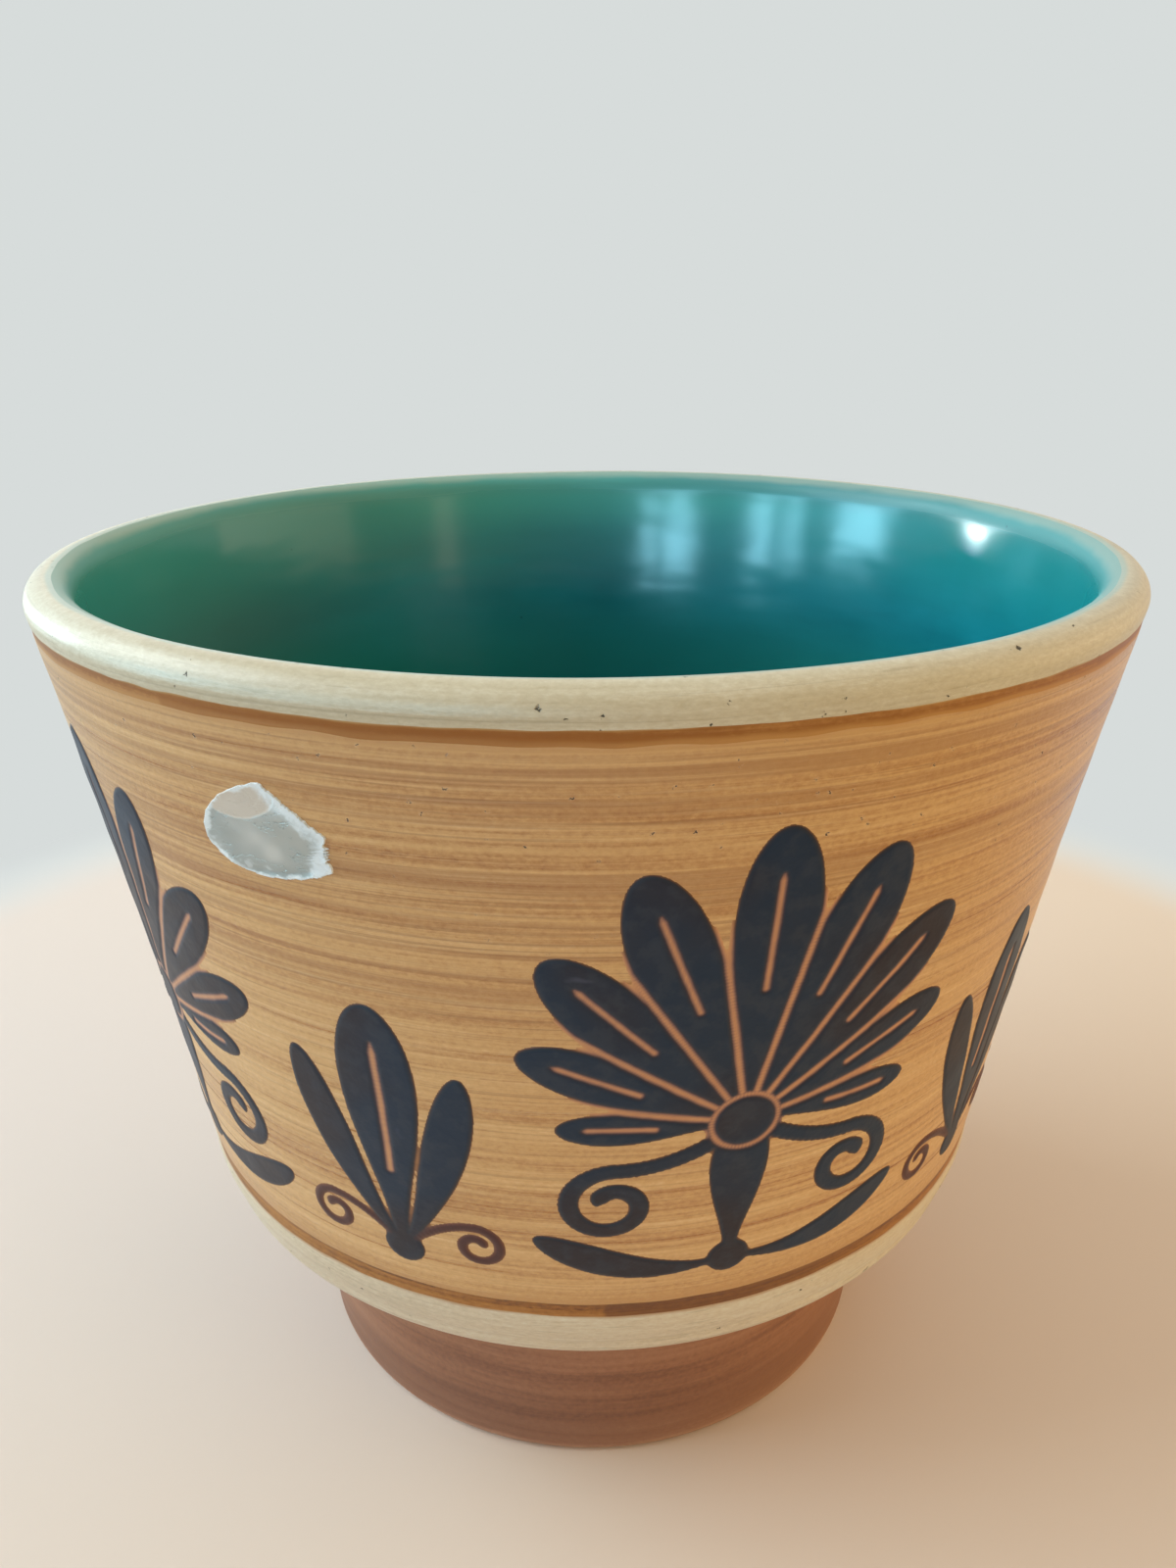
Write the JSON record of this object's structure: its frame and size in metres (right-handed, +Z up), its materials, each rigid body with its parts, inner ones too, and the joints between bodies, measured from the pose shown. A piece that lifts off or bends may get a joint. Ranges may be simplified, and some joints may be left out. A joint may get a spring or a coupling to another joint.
{
  "type": "flowerpot",
  "caption": "Round flared earthenware flowerpot on a narrower foot, without a drain hole: turquoise glaze inside, honey slip with a painted palmette frieze outside, cream rim and shoulder.",
  "frame": {"origin": "centre of the base ring, on the surface that the pot stands on", "axes": "+Z up along the pot's axis of revolution, -Y towards the front of the picture, with the label left of the front at azimuth -25 degrees"},
  "size_m": [0.14, 0.14, 0.119],
  "materials": {
    "fired_clay": "matte fired earthenware",
    "foot_slip": "matte brown slip with horizontal brush streaks",
    "cream_glaze": "satin cream glaze",
    "brown_oxide": "satin brown oxide line",
    "honey_slip": "satin honey slip with horizontal brush streaks",
    "turquoise_glaze": "glossy turquoise glaze",
    "cobalt_glaze": "satin blue-black glaze, slightly raised",
    "silver_foil": "crumpled foil"
  },
  "bodies": {
    "root": {"clay_body": "fired_clay", "foot_slip": "foot_slip", "shoulder_glaze": "cream_glaze", "lower_line": "brown_oxide", "wall_slip": "honey_slip", "upper_line": "brown_oxide", "rim_glaze": "cream_glaze", "inner_glaze": "turquoise_glaze", "palmette_1": "cobalt_glaze", "palmette_2": "cobalt_glaze", "palmette_3": "cobalt_glaze", "palmette_4": "cobalt_glaze", "palmette_5": "cobalt_glaze", "lotus_bud_1": "cobalt_glaze", "lotus_bud_2": "cobalt_glaze", "lotus_bud_3": "cobalt_glaze", "lotus_bud_4": "cobalt_glaze", "lotus_bud_5": "cobalt_glaze", "foil_label": "silver_foil"}
  },
  "joints": []
}
